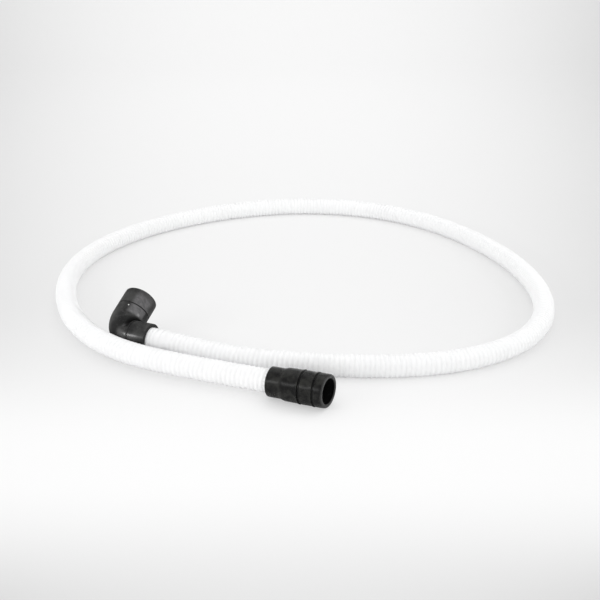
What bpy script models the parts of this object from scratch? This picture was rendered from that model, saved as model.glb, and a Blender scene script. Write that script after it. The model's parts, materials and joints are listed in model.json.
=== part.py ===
# Dishwasher drain hose, lying in one loop on the plane z = 0.
# A blown corrugated hose carries a moulded rubber elbow on one end and a moulded rubber sleeve on the
# other. Metres, +Z up. X runs along the sleeve, from its hose end towards its mouth.
import math

import bmesh
import bpy
import numpy as np
from mathutils import Matrix, Vector

MM = 0.001

# Mesh
WELD_DISTANCE = 0.01 * MM
SMOOTH_ANGLE = math.radians(35)  # sharper edges than this stay sharp
ROUND_SIDES = 40  # facets around a fitting
BEND_STEPS = 10  # stations along the elbow's bend
CUTTER_OVERRUN = 1.0 * MM  # how far a bore's cutter passes a mouth

# Fits
FIT_GAP = 0.3 * MM  # between a hose end and the socket that holds it
SEAT_GAP = 0.3 * MM  # between a hose end and the shoulder that stops it
LEAD_IN = 0.5 * MM  # chamfer at every bore's mouth

# Corrugated hose
HOSE_DIAMETER = 23.0 * MM
HOSE_SPACING = 2.0  # distance between the tube's points, in hose diameters
HOSE_SIDES = 12
ELBOW_CUFF_DIAMETER = 24.4 * MM  # smooth end of the hose at the elbow
ELBOW_CUFF_SHOWING = 20.0 * MM  # length of that end outside the elbow
SLEEVE_CUFF_DIAMETER = 22.0 * MM  # smooth end of the hose inside the sleeve
CUFF_TAPER = 3.0 * MM

# Elbow
ELBOW_CORNER_X = -114.5 * MM  # where the two arms' axes meet
ELBOW_CORNER_Y = -0.4 * MM
ELBOW_ROLL = math.radians(27.7)  # rise of the upper arm, which points away along Y
ELBOW_INNER_BEND = 0.6 * MM  # from the bend's centre to the wall at the inner corner
ELBOW_SOCKET_WALL = 3.4 * MM
ELBOW_MOUTH_WALL = 3.5 * MM
ELBOW_MOUTH_DIAMETER = 28.4 * MM  # bore that pushes over a spigot
ELBOW_MOUTH_DEPTH = 22.0 * MM
ELBOW_MOUTH_CONE = 5.0 * MM  # between the mouth's bore and the passage
ELBOW_NECK_LENGTH = 2.8 * MM  # straight passage between that cone and the bend
ELBOW_PASSAGE_DIAMETER = 20.0 * MM
LOWER_COLLAR_LENGTH = 18.9 * MM
LOWER_COLLAR_TO_BEND = 0.4 * MM
SHOULDER_TO_COLLAR_END = 1.9 * MM  # the socket's shoulder lies just inside the collar
SHOULDER_SLOPE = 0.05 * MM
UPPER_COLLAR_LENGTH = 18.7 * MM
ELBOW_GROOVE_WIDTH = 1.2 * MM
ELBOW_GROOVE_SLOPE = 0.24 * MM
ELBOW_GROOVE_DEPTH = 0.5 * MM
ELBOW_LOWER_EDGE = 1.0 * MM  # rounding of the socket's outer rim
ELBOW_UPPER_EDGE = 1.6 * MM  # rounding of the mouth's outer rim

# Sleeve, whose lengths follow each other from the hose end to the mouth
SLEEVE_MOUTH_X = 131.8 * MM
SLEEVE_MOUTH_Y = -33.5 * MM
SLEEVE_TILT = math.radians(1.8)  # the hose holds its mouth up a little
SLEEVE_CUFF_LENGTH = 13.0 * MM
SLEEVE_CONE_LENGTH = 4.5 * MM
SLEEVE_FIRST_LENGTH = 15.1 * MM  # from the cone to the first step
SLEEVE_SECOND_LENGTH = 14.4 * MM  # from the first step to the second
SLEEVE_COLLAR_LENGTH = 12.5 * MM  # from the second step to the mouth
SLEEVE_CUFF_WALL = 3.0 * MM
SLEEVE_MOUTH_DIAMETER = 25.8 * MM  # bore that pushes over a spigot
SLEEVE_MOUTH_CONE = 3.2 * MM
SLEEVE_RIM_WALL = 3.1 * MM
SLEEVE_RING_PROUD = 0.3 * MM  # height of the widest ring over the rim
SLEEVE_BODY_SWELL = 0.35 * MM  # each segment's growth towards its step
SLEEVE_STEP = 0.45 * MM
SLEEVE_STEP_SLOPE = 0.36 * MM
SLEEVE_STEP_FOOT = 1.2 * MM  # width of the low band after a step
SLEEVE_STEP_RISE = 2.4 * MM  # from that band back to the body
SLEEVE_EDGE = 0.9 * MM
SLEEVE_SOCKET_DEPTH = 24.0 * MM
SLEEVE_PASSAGE_DIAMETER = 19.0 * MM
SLEEVE_PASSAGE_LENGTH = 3.0 * MM

# The hose's route on the surface, from the elbow round the loop to the sleeve, in millimetres.
# The third number is the height of the hose's axis above its own radius.
ROUTE = [
    (-3, 3, 1.1),
    (75, 17, 0),
    (151, 44, 0),
    (218, 88, 0),
    (262, 154, 0),
    (270, 234, 0),
    (247, 311, 0),
    (205, 379, 0),
    (149, 437, 0),
    (83, 483, 0),
    (7, 510, 0),
    (-73, 510, 0),
    (-148, 482, 0),
    (-210, 430, 0),
    (-256, 364, 0),
    (-284, 289, 0),
    (-290, 209, 0),
    (-270, 131, 0),
    (-228, 63, 1.6),
    (-169, 4, 3.3),
    (-95, -32, 3.7),
    (-13, -37, 3.3),
]

RUBBER_COLOUR = (0.022, 0.022, 0.023, 1.0)
HOSE_COLOUR = (0.86, 0.87, 0.88, 1.0)


def clear_scene():
    for obj in list(bpy.data.objects):
        bpy.data.objects.remove(obj, do_unlink=True)


def new_collection(name):
    collection = bpy.data.collections.new(name)
    bpy.context.scene.collection.children.link(collection)
    return collection


def plain_material(name, colour, roughness, metallic=0.0):
    material = bpy.data.materials.new(name)
    material.use_nodes = True
    shader = material.node_tree.nodes["Principled BSDF"]
    shader.inputs["Base Color"].default_value = colour
    shader.inputs["Roughness"].default_value = roughness
    shader.inputs["Metallic"].default_value = metallic
    return material


def swept_curve(name, collection, stations, sides):
    """A round bar along the stations' points, with each station's radius and filled caps."""
    curve = bpy.data.curves.new(name, "CURVE")
    curve.dimensions = "3D"
    curve.bevel_depth = 1.0
    curve.bevel_resolution = sides // 2 - 2  # a full bevel has four sides and two more for each step
    curve.use_fill_caps = True
    spline = curve.splines.new("POLY")
    spline.points.add(len(stations) - 1)
    for point, (place, radius) in zip(spline.points, stations):
        point.co = (place[0], place[1], place[2], 1.0)
        point.radius = radius
    obj = bpy.data.objects.new(name, curve)
    collection.objects.link(obj)
    return obj


def curve_to_mesh(obj, collection):
    """The same shape as one closed mesh, with its caps welded on."""
    bpy.context.view_layer.update()
    evaluated = obj.evaluated_get(bpy.context.evaluated_depsgraph_get())
    mesh = bpy.data.meshes.new_from_object(evaluated)
    name, place = obj.name, obj.matrix_world.copy()
    bpy.data.objects.remove(obj, do_unlink=True)
    work = bmesh.new()
    work.from_mesh(mesh)
    bmesh.ops.remove_doubles(work, verts=work.verts, dist=WELD_DISTANCE)
    bmesh.ops.recalc_face_normals(work, faces=work.faces)
    work.to_mesh(mesh)
    work.free()
    solid = bpy.data.objects.new(name, mesh)
    solid.matrix_world = place
    collection.objects.link(solid)
    return solid


def rounded_end(position, inward, radius, edge):
    """Three profile points round an outer rim: the rim's face, the arc's middle and the wall."""
    drop = edge * (1.0 - math.cos(math.pi / 4))
    return [
        (position, radius - edge),
        (position + inward * drop, radius - drop),
        (position + inward * edge, radius),
    ]


def ring_groove(start, radius):
    """A shallow square groove round an elbow arm."""
    floor = radius - ELBOW_GROOVE_DEPTH
    end = start + ELBOW_GROOVE_WIDTH
    return [
        (start, radius),
        (start + ELBOW_GROOVE_SLOPE, floor),
        (end - ELBOW_GROOVE_SLOPE, floor),
        (end, radius),
    ]


# Elbow

ELBOW_X = Vector((1.0, 0.0, 0.0))
ELBOW_UP = Vector((0.0, math.cos(ELBOW_ROLL), math.sin(ELBOW_ROLL)))
ELBOW_SOCKET_DIAMETER = ELBOW_CUFF_DIAMETER + 2 * FIT_GAP
LOWER_ARM_DIAMETER = ELBOW_SOCKET_DIAMETER + 2 * ELBOW_SOCKET_WALL
UPPER_ARM_DIAMETER = ELBOW_MOUTH_DIAMETER + 2 * ELBOW_MOUTH_WALL
ELBOW_BEND_RADIUS = UPPER_ARM_DIAMETER / 2 + ELBOW_INNER_BEND
ELBOW_SOCKET_DEPTH = LOWER_COLLAR_LENGTH - SHOULDER_TO_COLLAR_END
LOWER_STRAIGHT = LOWER_COLLAR_LENGTH + LOWER_COLLAR_TO_BEND
UPPER_STRAIGHT = ELBOW_MOUTH_DEPTH + ELBOW_MOUTH_CONE + ELBOW_NECK_LENGTH
LOWER_ARM_LENGTH = LOWER_STRAIGHT + ELBOW_BEND_RADIUS  # from the corner to the socket's rim
UPPER_ARM_LENGTH = UPPER_STRAIGHT + ELBOW_BEND_RADIUS  # from the corner to the mouth
ELBOW_ARC = ELBOW_BEND_RADIUS * math.pi / 2
ELBOW_PATH = LOWER_STRAIGHT + ELBOW_ARC + UPPER_STRAIGHT


def elbow_offset(along):
    """From the corner to the point on the elbow's axis at a distance from the socket's rim."""
    if along <= LOWER_STRAIGHT:
        return ELBOW_X * (LOWER_ARM_LENGTH - along)
    turn = (along - LOWER_STRAIGHT) / ELBOW_BEND_RADIUS
    if turn <= math.pi / 2:
        across = ELBOW_X * (1.0 - math.sin(turn))
        up = ELBOW_UP * (1.0 - math.cos(turn))
        return (across + up) * ELBOW_BEND_RADIUS
    return ELBOW_UP * (UPPER_ARM_LENGTH - (ELBOW_PATH - along))


def bend_stations(radius_at_start, radius_at_end):
    """Profile points along the bend, between its two ends."""
    found = []
    for step in range(1, BEND_STEPS):
        share = step / BEND_STEPS
        along = LOWER_STRAIGHT + share * ELBOW_ARC
        found.append((along, radius_at_start + share * (radius_at_end - radius_at_start)))
    return found


def elbow_outer_profile():
    lower = LOWER_ARM_DIAMETER / 2
    upper = UPPER_ARM_DIAMETER / 2
    upper_groove = ELBOW_PATH - UPPER_COLLAR_LENGTH - ELBOW_GROOVE_WIDTH
    lower_groove = LOWER_COLLAR_LENGTH - ELBOW_GROOVE_WIDTH
    profile = rounded_end(0.0, 1.0, lower, ELBOW_LOWER_EDGE)
    profile += ring_groove(lower_groove, lower)
    profile += bend_stations(lower, upper)
    profile += [(LOWER_STRAIGHT + ELBOW_ARC, upper)]
    profile += ring_groove(upper_groove, upper)
    profile += reversed(rounded_end(ELBOW_PATH, -1.0, upper, ELBOW_UPPER_EDGE))
    return profile


def elbow_corner():
    """Where the arms' axes meet, with the elbow's lowest ring on the surface."""
    height = max(radius - elbow_offset(along).z for along, radius in elbow_outer_profile())
    return Vector((ELBOW_CORNER_X, ELBOW_CORNER_Y, height))


def elbow_bore_profile():
    socket = ELBOW_SOCKET_DIAMETER / 2
    passage = ELBOW_PASSAGE_DIAMETER / 2
    mouth = ELBOW_MOUTH_DIAMETER / 2
    mouth_floor = ELBOW_PATH - ELBOW_MOUTH_DEPTH
    profile = [
        (-CUTTER_OVERRUN, socket + LEAD_IN + CUTTER_OVERRUN),
        (LEAD_IN, socket),
        (ELBOW_SOCKET_DEPTH, socket),
        (ELBOW_SOCKET_DEPTH + SHOULDER_SLOPE, passage),
    ]
    profile += bend_stations(passage, passage)
    profile += [
        (LOWER_STRAIGHT + ELBOW_ARC, passage),
        (mouth_floor - ELBOW_MOUTH_CONE, passage),
        (mouth_floor, mouth),
        (ELBOW_PATH - LEAD_IN, mouth),
        (ELBOW_PATH + CUTTER_OVERRUN, mouth + LEAD_IN + CUTTER_OVERRUN),
    ]
    return profile


def make_elbow(parts, cutters, rubber):
    corner = elbow_corner()
    solid = [(corner + elbow_offset(along), radius) for along, radius in elbow_outer_profile()]
    bore = [(corner + elbow_offset(along), radius) for along, radius in elbow_bore_profile()]
    elbow = curve_to_mesh(swept_curve("rubber_elbow", parts, solid, ROUND_SIDES), parts)
    cutter = curve_to_mesh(swept_curve("elbow_bore", cutters, bore, ROUND_SIDES), cutters)
    cutter.hide_render = True
    cutter.display_type = "WIRE"
    cut = elbow.modifiers.new("bore", "BOOLEAN")
    cut.operation = "DIFFERENCE"
    cut.object = cutter
    elbow.data.materials.append(rubber)
    elbow.data.shade_smooth()
    elbow.data.set_sharp_from_angle(angle=SMOOTH_ANGLE)
    return elbow


# Sleeve

SLEEVE_DIRECTION = Vector((math.cos(SLEEVE_TILT), 0.0, math.sin(SLEEVE_TILT)))
SLEEVE_SOCKET_DIAMETER = SLEEVE_CUFF_DIAMETER + 2 * FIT_GAP
SLEEVE_FIRST_STEP = SLEEVE_CUFF_LENGTH + SLEEVE_CONE_LENGTH + SLEEVE_FIRST_LENGTH
SLEEVE_SECOND_STEP = SLEEVE_FIRST_STEP + SLEEVE_SECOND_LENGTH
SLEEVE_LENGTH = SLEEVE_SECOND_STEP + SLEEVE_COLLAR_LENGTH


def sleeve_outside():
    """Down the outside from the mouth: distance from the hose end, radius."""
    cuff = SLEEVE_SOCKET_DIAMETER / 2 + SLEEVE_CUFF_WALL
    rim = SLEEVE_MOUTH_DIAMETER / 2 + SLEEVE_RIM_WALL
    ring = rim + SLEEVE_RING_PROUD
    collar = ring - SLEEVE_BODY_SWELL
    cone_end = SLEEVE_CUFF_LENGTH + SLEEVE_CONE_LENGTH
    outside = rounded_end(SLEEVE_LENGTH, -1.0, rim, SLEEVE_EDGE)
    outside += [
        (SLEEVE_SECOND_STEP + SLEEVE_STEP_FOOT + SLEEVE_STEP_RISE, collar),
        (SLEEVE_SECOND_STEP + SLEEVE_STEP_FOOT, ring - SLEEVE_STEP),
        (SLEEVE_SECOND_STEP + SLEEVE_STEP_SLOPE, collar - SLEEVE_STEP),
        (SLEEVE_SECOND_STEP, ring),
        (SLEEVE_SECOND_STEP - SLEEVE_STEP_FOOT, ring),
        (SLEEVE_FIRST_STEP + SLEEVE_STEP_FOOT, collar),
        (SLEEVE_FIRST_STEP + SLEEVE_STEP_SLOPE, collar - SLEEVE_STEP),
        (SLEEVE_FIRST_STEP, ring - SLEEVE_BODY_SWELL / 2),
        (cone_end, collar - SLEEVE_BODY_SWELL),
        (SLEEVE_CUFF_LENGTH, cuff),
    ]
    outside += reversed(rounded_end(0.0, 1.0, cuff, SLEEVE_EDGE))
    return outside


def sleeve_bore():
    """Back up the bore, from the hose's socket to the mouth."""
    socket = SLEEVE_SOCKET_DIAMETER / 2
    passage = SLEEVE_PASSAGE_DIAMETER / 2
    mouth = SLEEVE_MOUTH_DIAMETER / 2
    passage_end = SLEEVE_SOCKET_DEPTH + SLEEVE_PASSAGE_LENGTH
    return [
        (0.0, socket + LEAD_IN),
        (LEAD_IN, socket),
        (SLEEVE_SOCKET_DEPTH, socket),
        (SLEEVE_SOCKET_DEPTH, passage),
        (passage_end, passage),
        (passage_end + SLEEVE_MOUTH_CONE, mouth),
        (SLEEVE_LENGTH - LEAD_IN, mouth),
        (SLEEVE_LENGTH, mouth + LEAD_IN),
    ]


def sleeve_start():
    """The middle of the sleeve's hose end, with its lowest ring on the surface."""
    rise, reach = math.sin(SLEEVE_TILT), math.cos(SLEEVE_TILT)
    height = max(radius * reach - along * rise for along, radius in sleeve_outside())
    return Vector((SLEEVE_MOUTH_X - SLEEVE_LENGTH * reach, SLEEVE_MOUTH_Y, height))


def make_sleeve(parts, rubber):
    mesh = bpy.data.meshes.new("rubber_sleeve")
    section = [(radius, 0.0, along) for along, radius in sleeve_outside() + sleeve_bore()]
    edges = [(i, (i + 1) % len(section)) for i in range(len(section))]
    mesh.from_pydata(section, edges, [])
    sleeve = bpy.data.objects.new("rubber_sleeve", mesh)
    parts.objects.link(sleeve)
    turn = sleeve.modifiers.new("turned", "SCREW")
    turn.axis = "Z"
    turn.angle = 2 * math.pi
    turn.steps = ROUND_SIDES
    turn.render_steps = ROUND_SIDES
    turn.use_merge_vertices = True
    turn.merge_threshold = WELD_DISTANCE
    turn.use_normal_calculate = False
    tilt = SLEEVE_DIRECTION.to_track_quat("Z", "Y").to_matrix().to_4x4()
    sleeve.matrix_world = Matrix.Translation(sleeve_start()) @ tilt
    mesh.materials.append(rubber)
    return sleeve


# Hose


def smooth_curve(points, start_direction, end_direction):
    """A cubic curve through the points that leaves and arrives in the given directions."""
    points = np.array([tuple(p) for p in points])
    chords = np.linalg.norm(np.diff(points, axis=0), axis=1)
    count = len(points)
    system = np.zeros((count, count))
    wanted = np.zeros((count, 3))
    system[0, 0] = system[-1, -1] = 1.0
    wanted[0] = tuple(start_direction)
    wanted[-1] = tuple(end_direction)
    for i in range(1, count - 1):
        before, after = chords[i - 1], chords[i]
        system[i, i - 1 : i + 2] = after, 2 * (before + after), before
        wanted[i] = 3 * (
            after / before * (points[i] - points[i - 1]) + before / after * (points[i + 1] - points[i])
        )
    slopes = np.linalg.solve(system, wanted)
    return points, chords, slopes


def curve_place(points, chords, slopes, distance):
    """The point at a distance along the chords of a smooth curve."""
    ends = np.concatenate([[0.0], np.cumsum(chords)])
    i = min(int(np.searchsorted(ends, distance, side="right")) - 1, len(chords) - 1)
    chord = chords[i]
    t = (distance - ends[i]) / chord
    start, end = points[i], points[i + 1]
    leave, arrive = slopes[i] * chord, slopes[i + 1] * chord
    return (
        (2 * t**3 - 3 * t**2 + 1) * start
        + (t**3 - 2 * t**2 + t) * leave
        + (3 * t**2 - 2 * t**3) * end
        + (t**3 - t**2) * arrive
    )


def hose_stations():
    """The tube's points and radii, from inside the elbow's socket to inside the sleeve's."""
    radius = HOSE_DIAMETER / 2
    elbow_cuff = ELBOW_CUFF_DIAMETER / 2
    sleeve_cuff = SLEEVE_CUFF_DIAMETER / 2
    elbow_rim = elbow_corner() + ELBOW_X * LOWER_ARM_LENGTH
    sleeve_end = sleeve_start()
    first_end = elbow_rim - ELBOW_X * (ELBOW_SOCKET_DEPTH - SEAT_GAP)
    cuff_end = elbow_rim + ELBOW_X * ELBOW_CUFF_SHOWING
    hose_start = cuff_end + ELBOW_X * CUFF_TAPER
    hose_end = sleeve_end - SLEEVE_DIRECTION * CUFF_TAPER
    last_end = sleeve_end + SLEEVE_DIRECTION * (SLEEVE_SOCKET_DEPTH - SEAT_GAP)
    route = [Vector((x * MM, y * MM, radius + z * MM)) for x, y, z in ROUTE]
    smooth = smooth_curve([hose_start] + route + [hose_end], ELBOW_X, SLEEVE_DIRECTION)
    length = float(smooth[1].sum())
    count = max(2, round(length / (HOSE_SPACING * HOSE_DIAMETER)))
    run = [curve_place(*smooth, length * step / count) for step in range(count + 1)]
    for place in run:
        place[2] = max(place[2], radius)  # it lies on the surface, never under it
    return (
        [(first_end, elbow_cuff), (cuff_end, elbow_cuff)]
        + [(place, radius) for place in run]
        + [(sleeve_end, sleeve_cuff), (last_end, sleeve_cuff)]
    )


def make_hose(parts, plastic):
    hose = swept_curve("corrugated_hose", parts, hose_stations(), HOSE_SIDES)
    hose.data.materials.append(plastic)
    return hose


def main():
    clear_scene()
    parts = new_collection("dishwasher_drain_hose")
    cutters = new_collection("cutters")
    rubber = plain_material("black_rubber", RUBBER_COLOUR, 0.55)
    plastic = plain_material("white_plastic", HOSE_COLOUR, 0.4)
    make_elbow(parts, cutters, rubber)
    make_sleeve(parts, rubber)
    make_hose(parts, plastic)


main()
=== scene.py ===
# Dishwasher drain hose: the looks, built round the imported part.
# A white corrugated hose in one loop, with a black rubber elbow on one end and
# a black stepped sleeve on the other. Metres, +Z up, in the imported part's frame.
import json
import math

import bpy
import numpy as np
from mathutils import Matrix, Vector


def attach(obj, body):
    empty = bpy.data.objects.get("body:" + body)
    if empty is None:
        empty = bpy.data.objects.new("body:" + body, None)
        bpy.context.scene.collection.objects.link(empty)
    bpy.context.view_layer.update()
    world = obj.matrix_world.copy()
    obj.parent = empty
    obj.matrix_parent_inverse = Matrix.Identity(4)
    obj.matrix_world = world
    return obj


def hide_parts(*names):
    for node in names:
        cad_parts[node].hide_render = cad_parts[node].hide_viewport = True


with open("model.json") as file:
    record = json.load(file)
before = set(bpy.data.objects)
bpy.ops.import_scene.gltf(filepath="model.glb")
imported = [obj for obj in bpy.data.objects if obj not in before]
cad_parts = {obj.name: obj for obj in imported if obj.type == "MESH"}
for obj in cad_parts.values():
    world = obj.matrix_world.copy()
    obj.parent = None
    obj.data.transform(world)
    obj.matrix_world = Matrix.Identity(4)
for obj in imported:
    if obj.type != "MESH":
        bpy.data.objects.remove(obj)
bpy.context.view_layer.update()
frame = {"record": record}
mm = 0.001


# Where the part's ends are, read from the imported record

endSettings = {
    "elbowMouthOffset": 15.4 * mm,  # from the mouth's centre to the mount's point, along X
    "upperArm": 48.1 * mm,  # from the elbow's corner to its mouth
    "lowerArm": 37.6 * mm,  # from the corner to the rim that the hose goes into
    "bendRadius": 18.3 * mm,
    "sleeveMouthOffset": 14.25 * mm,  # from the mouth's centre to the mount's point, along Y
    "sleeveLength": 59.5 * mm,
}


def mountOf(name):
    found = next(m for m in frame["record"]["mounts"] if m["name"] == name)
    return Vector(found["pos_m"]), Vector(found["axis"]).normalized()


elbowMount, elbowUp = mountOf("elbow_mouth")
sleeveMount, sleeveAlong = mountOf("sleeve_mouth")
elbowAlong = Vector((1, 0, 0))
elbowMouth = elbowMount - elbowAlong * endSettings["elbowMouthOffset"]
elbowCorner = elbowMouth - elbowUp * endSettings["upperArm"]
elbowRim = elbowCorner + elbowAlong * endSettings["lowerArm"]
sleeveMouth = sleeveMount - Vector((0, endSettings["sleeveMouthOffset"], 0))
sleeveStart = sleeveMouth - sleeveAlong * endSettings["sleeveLength"]


# The camera, at the photograph's viewing angle

cameraSettings = {
    "place": (0.4334, -0.7782, 0.4375),
    "lookDown": 22.40,
    "turn": 24.0,
    "lens": 60.0,
    "sensor": 36.0,
}


def makeCamera(settings):
    data = bpy.data.cameras.new("camera")
    data.lens = settings["lens"]
    data.sensor_width = settings["sensor"]
    camera = bpy.data.objects.new("camera", data)
    camera.location = settings["place"]
    camera.rotation_euler = (math.radians(90 - settings["lookDown"]), 0, math.radians(settings["turn"]))
    bpy.context.scene.collection.objects.link(camera)
    bpy.context.scene.camera = camera


makeCamera(cameraSettings)
print("camera placed")


# Shader nodes written as sums

class Value:  # one socket of a material, so that its maths reads as maths
    def __init__(self, recipe, socket):
        self.recipe = recipe
        self.socket = socket

    def maths(self, operation, *values):
        return self.recipe.node("ShaderNodeMath", {"operation": operation}, dict(enumerate(values)))

    def __add__(self, other):
        return self.maths("ADD", self, other)

    def __radd__(self, other):
        return self.maths("ADD", other, self)

    def __sub__(self, other):
        return self.maths("SUBTRACT", self, other)

    def __rsub__(self, other):
        return self.maths("SUBTRACT", other, self)

    def __mul__(self, other):
        return self.maths("MULTIPLY", self, other)

    def __rmul__(self, other):
        return self.maths("MULTIPLY", other, self)

    def __truediv__(self, other):
        return self.maths("DIVIDE", self, other)

    def power(self, exponent):
        return self.maths("POWER", self, exponent)

    def size(self):
        return self.maths("ABSOLUTE", self)

    def atMost(self, limit):
        return self.maths("MINIMUM", self, limit)

    def atLeast(self, limit):
        return self.maths("MAXIMUM", self, limit)

    def between(self, low, high):  # 0 below low, 1 above high, smooth in between
        settings = {"interpolation_type": "SMOOTHSTEP"}
        values = {"Value": self, "From Min": low, "From Max": high, "To Min": 0.0, "To Max": 1.0}
        return self.recipe.node("ShaderNodeMapRange", settings, values)


class Recipe:  # one material and the nodes that feed it
    def __init__(self, name, constants):
        self.material = bpy.data.materials.new(name)
        self.material.use_nodes = True
        self.tree = self.material.node_tree
        self.shader = self.tree.nodes["Principled BSDF"]
        for socket, value in constants.items():
            self.shader.inputs[socket].default_value = value
        self.place = self.node("ShaderNodeTexCoord", {}, {}, output="Object")

    def node(self, kind, settings, inputs, output=0):
        made = self.tree.nodes.new(kind)
        for name, value in settings.items():
            setattr(made, name, value)
        for name, value in inputs.items():
            self.feed(made.inputs[name], value)
        return Value(self, made.outputs[output])

    def feed(self, socket, value):
        if isinstance(value, Value):
            self.tree.links.new(value.socket, socket)
        else:
            socket.default_value = value

    def noise(self, scale, detail, roughness=0.5, stretch=None):
        place = self.place
        if stretch is not None:
            place = self.node("ShaderNodeMapping", {}, {"Vector": self.place, "Scale": stretch})
        values = {"Vector": place, "Scale": scale, "Detail": detail, "Roughness": roughness}
        return self.node("ShaderNodeTexNoise", {}, values)

    def mixed(self, share, first, second):
        return self.node("ShaderNodeMix", {"data_type": "RGBA"}, {0: share, 6: first, 7: second}, output=2)

    def vector(self, operation, first, second, output):
        inputs = {0: first, 1: tuple(second)}
        return self.node("ShaderNodeVectorMath", {"operation": operation}, inputs, output)

    def along(self, direction, start):  # how far a point lies along a direction, from a start
        offset = self.vector("SUBTRACT", self.place, start, "Vector")
        return self.vector("DOT_PRODUCT", offset, direction, "Value")

    def nearness(self, centre, radius):  # 1 near a point, 0 past the radius from it
        core = 0.4 * radius
        return 1.0 - self.vector("DISTANCE", self.place, centre, "Value").between(core, radius)

    def bump(self, height, distance, strength):
        values = {"Height": height, "Distance": distance, "Strength": strength}
        return self.node("ShaderNodeBump", {}, values, output="Normal")

    def set(self, **sockets):
        for name, value in sockets.items():
            self.feed(self.shader.inputs[name.replace("_", " ")], value)
        return self.material


# Meshes: every piece here is a round wall, bent along a line and open through its middle

def wallMesh(name, rings, material):
    rings = np.asarray(rings, dtype=float)  # ring by ring along the outside and back along the bore
    count, sides, _ = rings.shape
    ringIndex = np.arange(count)[:, None] * sides
    nextIndex = (np.arange(count)[:, None] + 1) % count * sides
    side = np.arange(sides)[None, :]
    nextSide = (side + 1) % sides
    corners = [ringIndex + side, ringIndex + nextSide, nextIndex + nextSide, nextIndex + side]
    faces = np.stack(corners, axis=-1).reshape(-1, 4)
    mesh = bpy.data.meshes.new(name)
    mesh.from_pydata(rings.reshape(-1, 3).tolist(), [], faces.tolist())
    mesh.materials.append(material)
    mesh.shade_smooth()
    piece = bpy.data.objects.new(name, mesh)
    bpy.context.scene.collection.objects.link(piece)
    return piece


def roundedSection(corners, steps):
    # corners are (along, radius, rounding); each becomes a small smooth curve of steps points
    longestCut = 0.45  # share of a side, so that two roundings never meet
    found = []
    for i, (along, radius, rounding) in enumerate(corners):
        corner = np.array([along, radius])
        before = np.array(corners[i - 1][:2]) - corner
        after = np.array(corners[(i + 1) % len(corners)][:2]) - corner
        start = corner + before * min(longestCut, rounding / np.linalg.norm(before))
        end = corner + after * min(longestCut, rounding / np.linalg.norm(after))
        for t in np.linspace(0, 1, steps):
            found.append((1 - t) ** 2 * start + 2 * t * (1 - t) * corner + t * t * end)
    return found


def fineSection(section, longest):
    # the same closed section with more points, none further apart than longest
    found = []
    for i, point in enumerate(section):
        following = section[(i + 1) % len(section)]
        pieces = max(1, math.ceil(np.linalg.norm(following - point) / longest))
        for step in range(pieces):
            found.append(point + (following - point) * step / pieces)
    return found


def smoothRise(low, high, x):  # 0 below low, 1 above high, smooth in between
    share = min(1.0, max(0.0, (x - low) / (high - low)))
    return share * share * (3 - 2 * share)


# The corrugated hose

hoseSettings = {
    "radius": 11.5 * mm,
    "pitch": 4.8 * mm,
    "valleyDepth": 0.65 * mm,
    "wall": 0.8 * mm,
    "sides": 26,
    "cuffRadius": 12.2 * mm,  # the smooth end at the elbow
    "cuffShowing": 20.0 * mm,
    "cuffTaper": 3.0 * mm,
    "cuffGrooves": (3.6 * mm, 7.7 * mm, 14.5 * mm),  # from the elbow's rim
    "cuffGrooveDepth": 0.3 * mm,
    "cuffGrooveHalf": 0.5 * mm,  # half its width
    "cuffShoulder": (1.5 * mm, 0.35 * mm),  # length and drop of its edge towards the taper
    "insideElbow": 16.7 * mm,
    "insideSleeve": 23.7 * mm,
    "sleeveCuffRadius": 11.0 * mm,
    "endBevel": (0.6 * mm, 0.4 * mm),  # length and drop, at both ends
    "seed": 7,
    "pitchWander": 0.02,  # share of the pitch by which the rings stand out of place
    "crestWander": 0.08 * mm,
    "directionReach": 2.0 * mm,  # how far ahead and behind the hose's direction is read
    "stepsPerChord": 50,  # points of its curve between two points of its route
}

# One corrugation from a valley to the next, as shares of the pitch and of the height
corrugation = [
    (0.09, 0.03),
    (0.20, 0.45),
    (0.32, 0.86),
    (0.50, 1.0),
    (0.68, 0.86),
    (0.80, 0.45),
    (0.91, 0.03),
]
boreCorrugation = [(0.0, 0.0), (0.5, 1.0)]

# One groove of the smooth end, as shares of half its width and of its depth
grooveProfile = [(-1.0, 0.0), (-0.5, 0.75), (0.0, 1.0), (0.5, 0.75), (1.0, 0.0)]

# The hose's route on the floor, from the elbow round the loop to the sleeve.
# The third number is how far the hose is raised off the floor.
route = [
    (-0.003, 0.003, 0.0011),
    (0.075, 0.017, 0.0),
    (0.151, 0.044, 0.0),
    (0.218, 0.088, 0.0),
    (0.262, 0.154, 0.0),
    (0.270, 0.234, 0.0),
    (0.247, 0.311, 0.0),
    (0.205, 0.379, 0.0),
    (0.149, 0.437, 0.0),
    (0.083, 0.483, 0.0),
    (0.007, 0.510, 0.0),
    (-0.073, 0.510, 0.0),
    (-0.148, 0.482, 0.0),
    (-0.210, 0.430, 0.0),
    (-0.256, 0.364, 0.0),
    (-0.284, 0.289, 0.0),
    (-0.290, 0.209, 0.0),
    (-0.270, 0.131, 0.0),
    (-0.228, 0.063, 0.0016),
    (-0.169, 0.004, 0.0033),
    (-0.095, -0.032, 0.0037),
    (-0.013, -0.037, 0.0033),
]


def smoothSlopes(points, chords, startDirection, endDirection):
    # the slopes of the smooth curve that leaves and arrives in the given directions
    count = len(points)
    system = np.zeros((count, count))
    wanted = np.zeros((count, 3))
    system[0, 0] = system[-1, -1] = 1.0
    wanted[0], wanted[-1] = startDirection, endDirection
    for i in range(1, count - 1):
        before, after = chords[i - 1], chords[i]
        system[i, i - 1:i + 2] = after, 2 * (before + after), before
        rise = after / before * (points[i] - points[i - 1]) + before / after * (points[i + 1] - points[i])
        wanted[i] = 3 * rise
    return np.linalg.solve(system, wanted)


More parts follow.
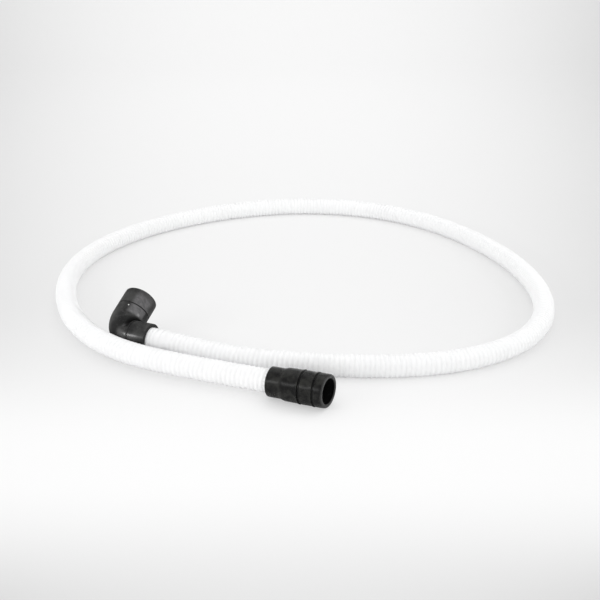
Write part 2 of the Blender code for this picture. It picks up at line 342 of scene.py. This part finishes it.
def smoothRun(points, startDirection, endDirection, stepsPerChord):
    chords = np.linalg.norm(np.diff(points, axis=0), axis=1)
    slopes = smoothSlopes(points, chords, startDirection, endDirection)
    t = np.linspace(0, 1, stepsPerChord, endpoint=False)[:, None]
    run = []
    for i, chord in enumerate(chords):
        leave, arrive = slopes[i] * chord, slopes[i + 1] * chord
        run.append(
            (2 * t**3 - 3 * t**2 + 1) * points[i] + (t**3 - 2 * t**2 + t) * leave
            + (3 * t**2 - 2 * t**3) * points[i + 1] + (t**3 - t**2) * arrive
        )
    return np.concatenate(run + [points[-1:]])


def hoseLine(settings):
    radius = settings["radius"]
    taper = settings["cuffTaper"]
    firstEnd = elbowRim - elbowAlong * settings["insideElbow"]
    hoseStart = elbowRim + elbowAlong * (settings["cuffShowing"] + taper)
    hoseEnd = sleeveStart - sleeveAlong * taper
    lastEnd = sleeveStart + sleeveAlong * settings["insideSleeve"]
    places = [tuple(hoseStart)] + [(x, y, radius + z) for x, y, z in route] + [tuple(hoseEnd)]
    run = smoothRun(np.array(places), tuple(elbowAlong), tuple(sleeveAlong), settings["stepsPerChord"])
    run[:, 2] = np.maximum(run[:, 2], radius)  # it lies on the floor, never under it
    return np.concatenate([[tuple(firstEnd)], run, [tuple(lastEnd)]])


def cuffSection(settings, length):
    # the smooth end's outside, with fine grooves round it
    start = settings["insideElbow"]
    radius = settings["cuffRadius"]
    bevel, bevelDrop = settings["endBevel"]
    shoulder, shoulderDrop = settings["cuffShoulder"]
    section = [(0.0, radius - bevelDrop), (bevel, radius)]
    for groove in settings["cuffGrooves"]:
        for offset, share in grooveProfile:
            place = start + groove + offset * settings["cuffGrooveHalf"]
            section.append((place, radius - share * settings["cuffGrooveDepth"]))
    return section + [(length - shoulder, radius), (length, radius - shoulderDrop)]


def hoseSections(settings, length):
    # (distance along the hose, radius) of the outside, then of the bore on the way back
    radius = settings["radius"]
    depth = settings["valleyDepth"]
    wall = settings["wall"]
    cuffEnd = settings["insideElbow"] + settings["cuffShowing"]
    first = cuffEnd + settings["cuffTaper"]
    last = length - settings["insideSleeve"] - settings["cuffTaper"]
    count = round((last - first) / settings["pitch"])
    pitch = (last - first) / count
    wander = np.random.default_rng(settings["seed"])
    crests = radius - settings["crestWander"] * wander.random(count)
    shifts = settings["pitchWander"] * pitch * (wander.random(count) - 0.5)
    outside = cuffSection(settings, cuffEnd)
    cuffBore = settings["cuffRadius"] - wall
    bore = [(0.0, cuffBore), (cuffEnd, cuffBore)]
    for i in range(count):
        start = first + i * pitch
        for share, height in corrugation:
            outside.append((start + share * pitch + shifts[i], crests[i] - depth * (1 - height)))
        for share, height in boreCorrugation:
            bore.append((start + share * pitch, radius - wall - depth * (1 - height)))
    sleeveCuff = settings["sleeveCuffRadius"]
    cuffStart = length - settings["insideSleeve"]
    bevel, bevelDrop = settings["endBevel"]
    outside += [(last, radius - depth), (cuffStart, sleeveCuff)]
    outside += [(length - bevel, sleeveCuff), (length, sleeveCuff - bevelDrop)]
    bore += [(last, radius - wall - depth), (cuffStart, sleeveCuff - wall), (length, sleeveCuff - wall)]
    return outside + bore[::-1]


def pointsOn(line, distance, along):
    return np.stack([np.interp(along, distance, line[:, k]) for k in range(3)], axis=1)


def unit(vectors):
    return vectors / np.linalg.norm(vectors, axis=1)[:, None]


def makeHose(settings, material):
    line = hoseLine(settings)
    distance = np.concatenate([[0.0], np.cumsum(np.linalg.norm(np.diff(line, axis=0), axis=1))])
    along, radius = np.array(hoseSections(settings, distance[-1])).T
    reach = settings["directionReach"]
    forward = unit(pointsOn(line, distance, along + reach) - pointsOn(line, distance, along - reach))
    across = unit(np.cross(forward, (0.0, 0.0, 1.0)))
    up = np.cross(across, forward)
    angle = np.arange(settings["sides"]) * 2 * math.pi / settings["sides"] + math.pi / 2
    angle = angle[None, :, None]
    outwards = across[:, None, :] * np.cos(angle) + up[:, None, :] * np.sin(angle)
    rings = pointsOn(line, distance, along)[:, None, :] + outwards * radius[:, None, None]
    rings[:, :, 2] = np.maximum(rings[:, :, 2], 0.0)  # flat where it touches the floor
    hose = wallMesh("drain_hose", rings, material)
    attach(hose, "root")
    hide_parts("corrugated_hose")


plasticSettings = {
    "clean": (0.915, 0.917, 0.921, 1),
    "cloudy": (0.898, 0.900, 0.905, 1),
    "dusty": (0.86, 0.86, 0.85, 1),
    "dust": 0.25,  # how much of it shows
    "seenThrough": 0.8 * mm,  # how far light spreads in the thin white wall
    "relief": 0.12 * mm,
}


def hosePlastic(settings):
    recipe = Recipe("whitePlastic", {
        "IOR": 1.49,
        "Specular IOR Level": 0.4,
        "Subsurface Weight": 0.8,
        "Subsurface Radius": (1.0, 1.0, 1.0),
        "Subsurface Scale": settings["seenThrough"],
    })
    cloud = recipe.noise(14.0, 3.0)
    dust = recipe.noise(220.0, 4.0, 0.6)
    colour = recipe.mixed(cloud.between(0.35, 0.7), settings["cloudy"], settings["clean"])
    colour = recipe.mixed(dust.between(0.62, 0.8) * settings["dust"], colour, settings["dusty"])
    grain = recipe.noise(1400.0, 2.0)
    drawn = recipe.noise(90.0, 2.0)
    return recipe.set(
        Base_Color=colour,
        Roughness=0.32 + 0.12 * dust,
        Normal=recipe.bump(grain * 0.3 + drawn * 0.7, settings["relief"], 0.5),
    )


makeHose(hoseSettings, hosePlastic(plasticSettings))
print("hose made")


# The elbow

elbowSettings = {
    "sides": 80,
    "longest": 0.9 * mm,  # between two rings of points
    "roundSteps": 5,
    "soft": 0.7 * mm,  # the rounding of gentle corners
    "crisp": 0.25 * mm,  # and of sharp ones
    "lowerRadius": 15.9 * mm,
    "upperRadius": 17.7 * mm,
    "widens": (0.38, 0.62),  # the shares of the bend between which it widens
    "lowerCollar": 21.0 * mm,
    "upperCollar": 18.7 * mm,
    "grooveWidth": 1.2 * mm,
    "grooveDepth": 0.5 * mm,
    "socketRimRounding": 1.0 * mm,
    "rimRounding": 1.6 * mm,
    "socket": 12.5 * mm,
    "socketDepth": 17.0 * mm,
    "passage": 10.0 * mm,
    "mouth": 14.2 * mm,
    "mouthDepth": 22.0 * mm,
    "mouthCone": 5.0 * mm,
    "creaseDepth": 4.4 * mm,  # the fold that runs out of the inner corner
    "creaseShift": 2.2 * mm,  # from the middle of the bend towards the hose
    "creaseTurn": 4.0 * mm,  # and how much further at the elbow's sides
    # places round the wall run from 1, the inner corner, to -1 opposite
    "creaseTurned": 0.8,  # from where the turn grows
    "creaseStart": (-0.35, 0.20),  # where the fold begins
    "creaseEase": 0.7,  # how much shallower it is in the inner corner
    "creaseEases": (0.75, 0.95),
    "creaseAbove": 2.2 * mm,  # its width towards the mouth
    "creaseBelow": 3.6 * mm,
    "shoulder": 0.8 * mm,  # how far the wall swells above the fold
    "shoulderPlace": 8.0 * mm,
    "shoulderWidth": 4.5 * mm,
    "shoulderStart": (-0.6, 0.2),  # where it begins, and ends
    "shoulderEnd": (0.4, 0.8),
    "foldedWalls": (12.0 * mm, 15.0 * mm),  # walls under the first radius, the bore's, stay round
}


def grooveCorners(settings, end, radius):
    # a groove round the wall that ends at a place along the elbow
    profile = [(1.0, 0.0), (0.7, 1.0), (0.3, 1.0), (0.0, 0.0)]  # shares of its width and depth
    width, depth = settings["grooveWidth"], settings["grooveDepth"]
    return [(end - share * width, radius - fall * depth, settings["crisp"]) for share, fall in profile]


def elbowSection(settings, length):
    # the wall's corners as (along, radius, rounding), from the socket's rim; the small
    # offsets in them are a slight swell in the bend, the slope of a step and the rims' flare
    lower, upper = settings["lowerRadius"], settings["upperRadius"]
    soft = settings["soft"]
    arcStart = endSettings["lowerArm"] - endSettings["bendRadius"]
    arc = endSettings["bendRadius"] * math.pi / 2
    widensFrom, widensTo = (arcStart + share * arc for share in settings["widens"])
    mouthFloor = length - settings["mouthDepth"]
    outside = [
        (0.0, lower, settings["socketRimRounding"]),
        *grooveCorners(settings, settings["lowerCollar"], lower),
        (widensFrom, lower + 0.2 * mm, soft),
        (widensTo, upper - 0.1 * mm, soft),
        (arcStart + arc, upper, soft),
        *grooveCorners(settings, length - settings["upperCollar"], upper),
        (length, upper, settings["rimRounding"]),
    ]
    bore = [
        (length, settings["mouth"] + 0.3 * mm, 0.5 * mm),
        (mouthFloor, settings["mouth"], 0.8 * mm),
        (mouthFloor - settings["mouthCone"], settings["passage"], 0.8 * mm),
        (settings["socketDepth"] + 0.1 * mm, settings["passage"], 0.2 * mm),
        (settings["socketDepth"], settings["socket"], 0.2 * mm),
        (0.0, settings["socket"] + 0.1 * mm, 0.4 * mm),
    ]
    return outside + bore


def elbowStation(along, length):
    # the axis point and direction at a distance from the socket's rim
    bend = endSettings["bendRadius"]
    straight = endSettings["lowerArm"] - bend
    arc = bend * math.pi / 2
    if along <= straight:
        return elbowCorner + elbowAlong * (endSettings["lowerArm"] - along), -elbowAlong
    if along >= straight + arc:
        return elbowCorner + elbowUp * (endSettings["upperArm"] - (length - along)), elbowUp
    turn = (along - straight) / bend
    place = elbowCorner + (elbowAlong * (1 - math.sin(turn)) + elbowUp * (1 - math.cos(turn))) * bend
    return place, (elbowUp * math.sin(turn) - elbowAlong * math.cos(turn)).normalized()


def foldedWall(settings, fromMiddle, inside):
    # how far the wall moves out, at a distance along the elbow from its middle
    # and at a place round it: inside is 1 at the inner corner and -1 opposite
    fromMiddle += settings["creaseTurn"] * (1 - smoothRise(0.0, settings["creaseTurned"], inside))
    width = settings["creaseAbove"] if fromMiddle > 0 else settings["creaseBelow"]
    crease = math.exp(-(fromMiddle / width) ** 2) * smoothRise(*settings["creaseStart"], inside)
    crease *= 1 - settings["creaseEase"] * smoothRise(*settings["creaseEases"], inside)
    swell = math.exp(-((fromMiddle - settings["shoulderPlace"]) / settings["shoulderWidth"]) ** 2)
    swell *= smoothRise(*settings["shoulderStart"], inside)
    swell *= 1 - smoothRise(*settings["shoulderEnd"], inside)
    return settings["shoulder"] * swell - settings["creaseDepth"] * crease


def makeElbow(settings, material):
    bend = endSettings["bendRadius"]
    arcStart = endSettings["lowerArm"] - bend
    arc = bend * math.pi / 2
    length = arcStart + arc + endSettings["upperArm"] - bend
    section = roundedSection(elbowSection(settings, length), settings["roundSteps"])
    section = fineSection(section, settings["longest"])
    normal = elbowAlong.cross(elbowUp).normalized()
    middle = arcStart + arc / 2 - settings["creaseShift"]
    rings = []
    for along, radius in section:
        place, forward = elbowStation(along, length)
        inward = normal.cross(forward)  # in the elbow's plane, towards the bend's centre or away from it
        towards = (elbowCorner + (elbowAlong + elbowUp) * bend - place).dot(inward)
        side = 1 if towards >= 0 else -1
        outer = smoothRise(*settings["foldedWalls"], radius)
        ring = []
        for i in range(settings["sides"]):
            angle = 2 * math.pi * i / settings["sides"]
            inside = math.cos(angle) * side
            reach = radius + outer * foldedWall(settings, along - middle, inside)
            point = place + (inward * math.cos(angle) + normal * math.sin(angle)) * reach
            ring.append(tuple(point))
        rings.append(ring)
    elbow = wallMesh("elbow_shell", rings, material)
    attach(elbow, "root")
    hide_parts("rubber_elbow")


elbowRubberSettings = {
    "deep": (0.006, 0.006, 0.006, 1),
    "plain": (0.010, 0.010, 0.010, 1),
    "bloomed": (0.042, 0.042, 0.041, 1),
    # palest is the grey of the painted light on the upper arm, and of the pale specks
    "palest": (0.135, 0.132, 0.136, 1),
    "litSide": (0.755, -0.307, 0.583),  # the side of the upper arm painted palest, as painted light
    "litRound": (0.76, 0.97),  # where it fades in round the arm, as shares of the radius
    "litFrom": (16 * mm, 20 * mm),  # where it fades in up the arm, from the elbow's corner
    "litUntil": (11 * mm, 3 * mm),  # and where it fades out, from the mouth
    "foldInwards": (-8 * mm, -1 * mm),  # where the painted shade of the fold fades in, towards the inner corner
    "foldMiddle": -1.2 * mm,  # where its middle lies, towards the mouth
    "foldEdges": (1.5 * mm, 5.0 * mm),  # and its edges, from the middle
    "wedgeFrom": (11 * mm, 14 * mm),  # where the painted shade of the wedge behind it begins, along both arms
    "wedgeTop": (28 * mm, 29 * mm),
    "wedgeSide": (2.6 * mm, 4.4 * mm),
    "rimFace": 0.8 * mm,  # how far from the hose end the rim's dark begins
    "shades": (  # spots of shadow in the fold, from the elbow's corner, and their radii
        ((13.0 * mm, 0.3 * mm, 13.5 * mm), 7.0 * mm),
        ((15.2 * mm, -5.5 * mm, 14.8 * mm), 5.0 * mm),
    ),
    "dimple": ((26.0 * mm, -7.0 * mm, 14.3 * mm), 3.2 * mm),  # a small round mark
    "speck": ((3.3 * mm, 14.0 * mm, 27.0 * mm), 0.9 * mm),
    "speckColour": (0.75, 0.75, 0.74, 1),
    "lineEdges": (0.4 * mm, 0.9 * mm),  # the painted shade in a groove, from its middle
    "lowerLineTop": (13 * mm, 15 * mm),  # how far up the lower groove's painted shade goes
    "smoothFrom": (2 * mm, 9 * mm),  # the part of the lower arm that is rubbed smooth
    "smoothUntil": (23 * mm, 33 * mm),
    "smoothSide": (13.5 * mm, 15.5 * mm),
    "smoothTop": (0, 4 * mm),
    "patchTop": (18 * mm, 23 * mm),  # how far up the smooth patch over the fold goes
    "relief": 0.25 * mm,
}


def elbowRubber(settings, shape):
    recipe = Recipe("elbowRubber", {"IOR": 1.5, "Specular IOR Level": 0.2, "Coat Roughness": 0.2})
    corner, armEnd, socketEnd = elbowCorner, endSettings["upperArm"], endSettings["lowerArm"]
    upwards = recipe.along(elbowUp, corner)
    sideways = recipe.along(elbowAlong, corner)
    aside = recipe.along(elbowAlong.cross(elbowUp), corner)
    towardsMouth = recipe.along((elbowUp - elbowAlong).normalized(), corner)
    towardsCorner = recipe.along((elbowUp + elbowAlong).normalized(), corner)
    facing = recipe.along(settings["litSide"], corner) / shape["upperRadius"]

    def spot(place, radius):
        return recipe.nearness(corner + Vector(place), radius)

    def darkened(grey, share):
        return recipe.mixed(share, grey, settings["deep"])

    # the bloom, and painted light that makes one side of the upper arm palest
    bloom = recipe.noise(70.0, 5.0, 0.6)
    smear = recipe.noise(200.0, 4.0, 0.65, stretch=(1.0, 2.2, 1.0))
    grey = recipe.mixed(bloom.between(0.36, 0.66), settings["plain"], settings["bloomed"])
    # pale is the mask of that painted light
    pale = facing.between(*settings["litRound"]) * upwards.between(*settings["litFrom"])
    pale = pale * (1 - 0.7 * upwards.between(*(armEnd - offset for offset in settings["litUntil"])))
    grey = recipe.mixed(pale * (0.55 + 0.45 * smear.between(0.35, 0.65)), grey, settings["palest"])

    # painted shade in the fold and in the wedge behind it, and the dark rim at the hose
    fold = towardsCorner.between(*settings["foldInwards"])
    fold = fold * (1 - (towardsMouth - settings["foldMiddle"]).size().between(*settings["foldEdges"]))
    wedge = sideways.between(*settings["wedgeFrom"]) * (1 - aside.between(*settings["wedgeSide"]))
    wedge = wedge * upwards.between(*settings["wedgeFrom"]) * (1 - upwards.between(*settings["wedgeTop"]))
    rimFace = sideways.between(socketEnd - settings["rimFace"], socketEnd)
    grey = darkened(grey, 0.85 * fold)
    grey = darkened(grey, 0.95 * wedge)
    grey = darkened(grey, 0.9 * rimFace)

    # specks, shadows and the dimple
    speckle = recipe.noise(900.0, 2.0)
    grey = recipe.mixed(speckle.between(0.62, 0.75) * 0.3, grey, settings["palest"])
    for place, radius in settings["shades"]:
        grey = darkened(grey, 0.9 * spot(place, radius))
    dimpleRing = 1 - (spot(*settings["dimple"]) - 0.5).size().between(0.1, 0.4)
    grey = darkened(grey, 0.5 * dimpleRing)
    grey = recipe.mixed(spot(*settings["speck"]), grey, settings["speckColour"])

    # painted shade in the two grooves
    upperGroove = armEnd - shape["upperCollar"] - 0.5 * shape["grooveWidth"]
    lowerGroove = socketEnd - shape["lowerCollar"] + 0.5 * shape["grooveWidth"]
    upperGrooveShade = 1 - (upwards - upperGroove).size().between(*settings["lineEdges"])
    lowerGrooveShade = 1 - (sideways - lowerGroove).size().between(*settings["lineEdges"])
    lowerGrooveShade = lowerGrooveShade * (1 - upwards.between(*settings["lowerLineTop"]))
    grey = darkened(grey, 0.9 * upperGrooveShade)
    grey = darkened(grey, 0.8 * lowerGrooveShade)

    # the lower arm's front and a patch over the fold are rubbed smooth
    smooth = sideways.between(*settings["smoothFrom"])
    smooth = smooth * (1 - 0.8 * sideways.between(*settings["smoothUntil"]))
    smooth = smooth * (1 - aside.between(*settings["smoothSide"]))
    smooth = smooth * (1 - upwards.between(*settings["smoothTop"]))
    smooth = smooth + pale * (1 - upwards.between(*settings["patchTop"]))

    grain = recipe.noise(2200.0, 2.0)
    waves = recipe.noise(160.0, 2.0)
    return recipe.set(
        Base_Color=grey,
        Coat_Weight=smooth * (1 - lowerGrooveShade),
        Roughness=0.42 + 0.2 * smear,
        Normal=recipe.bump(grain * 0.25 + waves * 0.75, settings["relief"], 0.6),
    )


makeElbow(elbowSettings, elbowRubber(elbowRubberSettings, elbowSettings))
print("elbow made")


# The sleeve

sleeveSettings = {
    "sides": 96,
    "longest": 1.2 * mm,  # between two rings of points
    "roundSteps": 5,
    "soft": 1.2 * mm,  # the rounding of gentle corners
    "crisp": 0.25 * mm,  # and of sharp ones
    "cuffRadius": 14.3 * mm,
    "cuffLength": 13.0 * mm,
    "coneLength": 4.5 * mm,
    "firstStep": 32.6 * mm,  # from the hose end
    "secondStep": 47.0 * mm,
    "bodyRadius": 15.6 * mm,
    "ringRadius": 16.3 * mm,
    "lip": 0.7 * mm,  # how far each part flares before it steps down
    "stepDepth": 1.2 * mm,
    "stepWidth": 1.7 * mm,
    "stepDrop": 0.35 * mm,  # the length in which a step goes down
    "stepRise": 0.5 * mm,  # and in which it comes up again
    "rimRadius": 15.75 * mm,
    "rimRounding": 1.3 * mm,
    "rimLip": 1.0 * mm,  # how far the rim narrows the bore
    "skew": math.tan(math.radians(5.0)),  # the soft mouth is pressed a little askew
    "skewFrom": 44.0 * mm,
    "pressedBack": 18.0 * mm,  # how far behind the axis the skew moves nothing
    "socket": 11.3 * mm,
    "socketDepth": 24.0 * mm,
    "passage": 9.5 * mm,
    "passageLength": 3.0 * mm,
    "mouthCone": 3.2 * mm,
    "mouth": 12.9 * mm,
}


def stepCorners(settings, place, crest):
    # the sharp corners of a step down from a crest, up to the end of its narrow channel
    floor = crest - settings["stepDepth"]
    ends = [(place, crest), (place + settings["stepDrop"], floor), (place + settings["stepWidth"], floor)]
    return [(along, radius, settings["crisp"]) for along, radius in ends]


def sleeveSection(settings):
    # the wall's corners as (along, radius, rounding), from the hose end; the small
    # offsets in them let each part swell towards its step, and flare the rims
    length = endSettings["sleeveLength"]
    cuff, body, ring = settings["cuffRadius"], settings["bodyRadius"], settings["ringRadius"]
    first, second = settings["firstStep"], settings["secondStep"]
    coneEnd = settings["cuffLength"] + settings["coneLength"]
    channel = settings["stepWidth"] + settings["stepRise"]
    soft = settings["soft"]
    passageEnd = settings["socketDepth"] + settings["passageLength"]
    outside = [
        (0.0, cuff, 0.9 * mm),
        (settings["cuffLength"], cuff, soft),
        (coneEnd, body, soft),
        (first - 2.6 * mm, body + 0.1 * mm, soft),
        *stepCorners(settings, first, body + settings["lip"]),
        (first + channel, body + 0.35 * mm, soft),
        (second - 2.8 * mm, ring - 0.5 * mm, soft),
        *stepCorners(settings, second, ring),
        (second + channel, ring - 0.35 * mm, soft),
        (length - 3.5 * mm, settings["rimRadius"] + 0.1 * mm, soft),
        (length, settings["rimRadius"] - 0.1 * mm, settings["rimRounding"]),
    ]
    bore = [
        (length, settings["mouth"] - settings["rimLip"] + 0.5 * mm, 0.5 * mm),
        (length - 0.8 * mm, settings["mouth"] - settings["rimLip"], 0.5 * mm),
        (length - 2.2 * mm, settings["mouth"], 0.5 * mm),
        (passageEnd + settings["mouthCone"], settings["mouth"], 0.6 * mm),
        (passageEnd, settings["passage"], 0.6 * mm),
        (settings["socketDepth"], settings["passage"], 0.3 * mm),
        (settings["socketDepth"], settings["socket"], 0.3 * mm),
        (0.0, settings["socket"] + 0.1 * mm, 0.4 * mm),
    ]
    return outside + bore


def makeSleeve(settings, material):
    section = roundedSection(sleeveSection(settings), settings["roundSteps"])
    section = fineSection(section, settings["longest"])
    across = sleeveAlong.cross(Vector((0, 0, 1))).normalized()
    up = across.cross(sleeveAlong)
    rings = []
    for along, radius in section:
        place = sleeveStart + sleeveAlong * along
        skew = settings["skew"] * smoothRise(settings["skewFrom"], endSettings["sleeveLength"], along)
        ring = []
        for i in range(settings["sides"]):
            angle = 2 * math.pi * i / settings["sides"]
            outwards = (up * math.sin(angle) - across * math.cos(angle)) * radius
            pressed = sleeveAlong * (outwards.y - settings["pressedBack"]) * skew
            ring.append(tuple(place + outwards + pressed))
        rings.append(ring)
    sleeve = wallMesh("sleeve_shell", rings, material)
    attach(sleeve, "root")
    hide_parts("rubber_sleeve")


sleeveRubberSettings = {
    # deep is the grey of the painted shade in the channels and the bore
    "deep": (0.002, 0.002, 0.002, 1),
    "plain": (0.003, 0.003, 0.003, 1),
    "bloomed": (0.021, 0.021, 0.019, 1),
    "pale": (0.055, 0.055, 0.055, 1),
    "channelMiddle": 0.9 * mm,  # the middle of the channel's painted shade, from its step
    "channelEdges": (0.7 * mm, 1.2 * mm),
    "rimFace": (2.8 * mm, 2.0 * mm),  # how far from the mouth the rim's paler face begins
    "lipEdge": 0.5 * mm,  # how softly the bore's painted shade meets the lip
    "boreEdges": (0.1 * mm, 0.4 * mm),  # where its painted shade ends, past the mouth's radius
    "relief": 0.15 * mm,
}


def sleeveRubber(settings, shape):
    recipe = Recipe("sleeveRubber", {"IOR": 1.5, "Specular IOR Level": 0.15})
    fromStart = recipe.along(sleeveAlong, sleeveStart)
    across = recipe.along(sleeveAlong.cross(Vector((0, 0, 1))).normalized(), sleeveStart)
    upwards = recipe.along(sleeveAlong.cross(Vector((0, 1, 0))).normalized(), sleeveStart)
    radius = (across * across + upwards * upwards).power(0.5)

    # the bloom and its specks
    bloom = recipe.noise(120.0, 4.0, 0.6)
    speckle = recipe.noise(1000.0, 2.0)
    grey = recipe.mixed(bloom.between(0.38, 0.68), settings["plain"], settings["bloomed"])
    grey = recipe.mixed(speckle.between(0.64, 0.78) * 0.3, grey, settings["pale"])

    # painted shade in the channel after each step
    for step in (shape["firstStep"], shape["secondStep"]):
        offset = (fromStart - step - settings["channelMiddle"]).size()
        grey = recipe.mixed(1 - offset.between(*settings["channelEdges"]), grey, settings["deep"])

    # the paler rim, and painted shade in the bore; the rim's face is as askew as its shape
    rimStart, rimEnd = (endSettings["sleeveLength"] - offset for offset in settings["rimFace"])
    rimFace = (fromStart + across * shape["skew"]).between(rimStart, rimEnd)
    mouth, lip = shape["mouth"], shape["mouth"] - shape["rimLip"]
    boreShade = 1 - radius.between(lip, lip + settings["lipEdge"]) * rimFace
    boreShade = boreShade * (1 - radius.between(*(mouth + offset for offset in settings["boreEdges"])))
    grey = recipe.mixed(rimFace * 0.5, grey, settings["pale"])
    grey = recipe.mixed(boreShade, grey, settings["deep"])

    smear = recipe.noise(260.0, 3.0, 0.6)
    grain = recipe.noise(2600.0, 2.0)
    return recipe.set(
        Base_Color=grey,
        Roughness=0.22 + 0.12 * smear + 0.5 * boreShade,
        Normal=recipe.bump(grain * 0.3 + smear * 0.7, settings["relief"], 0.5),
    )


makeSleeve(sleeveSettings, sleeveRubber(sleeveRubberSettings, sleeveSettings))
print("sleeve made")


# Floor and backdrop in one sweep of paper, and the lights

studioSettings = {
    "turn": cameraSettings["turn"],  # the paper lies square to the view
    "middle": (0.0, 0.2, 0.0),
    "floorFront": -2.2,
    "floorBack": 1.6,
    "halfWidth": 3.5,
    "sweepRadius": 0.9,
    "sweepSteps": 16,
    "wallTop": 3.0,
    "worldStrength": 0.90,
}

# Painted light and shade: the paper's brightness, set in its colour. Changes are (how much, from, to),
# from and to being places in front of the middle, which are below 0, or behind it.
paperSettings = {
    "palest": 0.955,
    "behindHose": (0.058, -0.34, -0.16),  # darker past the front of the hose
    "farBack": (0.055, 0.0, 1.4),  # and paler again up the wall
    "frontEdge": (0.20, -0.58, -0.38),  # darker to the front edge
    "sides": 0.02,  # darker to the sides
    "sidesBehind": (0.12, -0.34, 0.0),
    "sidesFarBack": (0.04, 0.4, 1.4),
    "sidesInFront": (0.07, -0.56, -0.44),
    "sideCentre": -0.012,
    "sideReach": 0.3,
    "sidePower": 2.4,
    "sideMost": 1.15,
    "distance": (1.158, 0.925),  # the camera's, at the middle, and its growth towards the back
    "leastDistance": 0.4,
    "outside": 0.88,  # one plain level where the picture doesn't reach
    "outsideFront": (-1.3, -0.62),
    "outsideSides": (0.33, 0.8),
    "glow": 0.66,  # the share of the paper's look that is plain brightness; the rest takes shadows
    "darkest": ((0.10, -0.035, 0.0), 0.06),  # where the shadow is deepest, under the sleeve
    "darkestLoss": 0.3,  # how much less of that brightness there is
}


def paperLevel(recipe, settings, right, away, middle):
    back = recipe.along(away, middle)
    atMiddle, growth = settings["distance"]
    distance = (growth * back + atMiddle).atLeast(settings["leastDistance"])
    side = recipe.along(right, middle) / distance

    def behind(amount, start, end):
        return amount * back.between(start, end)

    def inFront(amount, start, end):
        return amount * (1 - back.between(start, end))

    sides = ((side - settings["sideCentre"]).size() / settings["sideReach"]).power(settings["sidePower"])
    sideDrop = settings["sides"] + behind(*settings["sidesBehind"]) + behind(*settings["sidesFarBack"])
    sideDrop = sideDrop + inFront(*settings["sidesInFront"])
    level = settings["palest"] - behind(*settings["behindHose"]) + behind(*settings["farBack"])
    level = level - inFront(*settings["frontEdge"]) - sides.atMost(settings["sideMost"]) * sideDrop
    outside = side.size().between(*settings["outsideSides"]) + inFront(1, *settings["outsideFront"])
    return level + (settings["outside"] - level) * outside.atMost(1.0)


def paper(settings, right, away, middle):
    recipe = Recipe("paper", {"Roughness": 0.9, "Specular IOR Level": 0.0})
    colour = recipe.mixed(paperLevel(recipe, settings, right, away, middle), (0, 0, 0, 1), (1, 1, 1, 1))
    recipe.set(Base_Color=colour)
    bright = recipe.node("ShaderNodeBsdfPrincipled", {}, {
        "Base Color": (0, 0, 0, 1),
        "Specular IOR Level": 0.0,
        "Emission Color": colour,
        "Emission Strength": 1.0,
    })
    seen = recipe.node("ShaderNodeLightPath", {}, {}, output="Is Camera Ray")
    share = 1 - settings["darkestLoss"] * recipe.nearness(*settings["darkest"])
    both = recipe.node("ShaderNodeMixShader", {}, {
        0: seen * settings["glow"] * share,
        1: Value(recipe, recipe.shader.outputs[0]),
        2: bright,
    })
    recipe.feed(recipe.tree.nodes["Material Output"].inputs["Surface"], both)
    return recipe.material


def makeSweep(settings, look):
    turn = math.radians(settings["turn"])
    right = Vector((math.cos(turn), math.sin(turn), 0))
    away = Vector((-math.sin(turn), math.cos(turn), 0))
    middle = Vector(settings["middle"])
    radius = settings["sweepRadius"]
    line = [(settings["floorFront"], 0.0)]
    for step in range(settings["sweepSteps"] + 1):
        angle = math.pi / 2 * step / settings["sweepSteps"]
        line.append((settings["floorBack"] + radius * math.sin(angle), radius * (1 - math.cos(angle))))
    line.append((settings["floorBack"] + radius, settings["wallTop"]))
    places, faces = [], []
    for y, z in line:
        for x in (-settings["halfWidth"], settings["halfWidth"]):
            places.append(tuple(middle + right * x + away * y + Vector((0, 0, z))))
    for i in range(len(line) - 1):
        faces.append((2 * i, 2 * i + 1, 2 * i + 3, 2 * i + 2))
    mesh = bpy.data.meshes.new("sweep")
    mesh.from_pydata(places, [], faces)
    mesh.shade_smooth()
    mesh.materials.append(paper(look, right, away, middle))
    sweep = bpy.data.objects.new("sweep", mesh)
    bpy.context.scene.collection.objects.link(sweep)


def makeWorld(strength):
    world = bpy.data.worlds.new("studio")
    world.use_nodes = True
    background = world.node_tree.nodes["Background"]
    background.inputs["Color"].default_value = (1, 1, 1, 1)
    background.inputs["Strength"].default_value = strength
    bpy.context.scene.world = world


lampSettings = {
    "softboxTop": {
        "place": (0.0, 0.75, 1.6),
        "aim": (0.0, 0.4, 0.0),
        "size": (1.6, 1.0),
        "power": 4.0,
    },
    "softboxLeft": {
        "place": (-0.72, -1.24, 0.64),
        "aim": (0.0, -0.02, 0.015),
        "size": (0.9, 0.2),
        "power": 5.2,
    },
    "softboxRight": {
        "place": (1.28, 0.46, 0.66),
        "aim": (-0.1, 0.0, 0.03),
        "size": (0.5, 0.4),
        "power": 2.6,
    },
}


def makeLamp(name, settings):
    data = bpy.data.lights.new(name, "AREA")
    data.shape = "RECTANGLE"
    data.size, data.size_y = settings["size"]
    data.energy = settings["power"]
    lamp = bpy.data.objects.new(name, data)
    lamp.location = settings["place"]
    lamp.rotation_mode = "QUATERNION"
    direction = Vector(settings["aim"]) - Vector(settings["place"])
    lamp.rotation_quaternion = direction.to_track_quat("-Z", "Y")
    bpy.context.scene.collection.objects.link(lamp)


makeSweep(studioSettings, paperSettings)
makeWorld(studioSettings["worldStrength"])
for name, settings in lampSettings.items():
    makeLamp(name, settings)
bpy.context.scene.view_settings.view_transform = "Standard"
print("studio made")
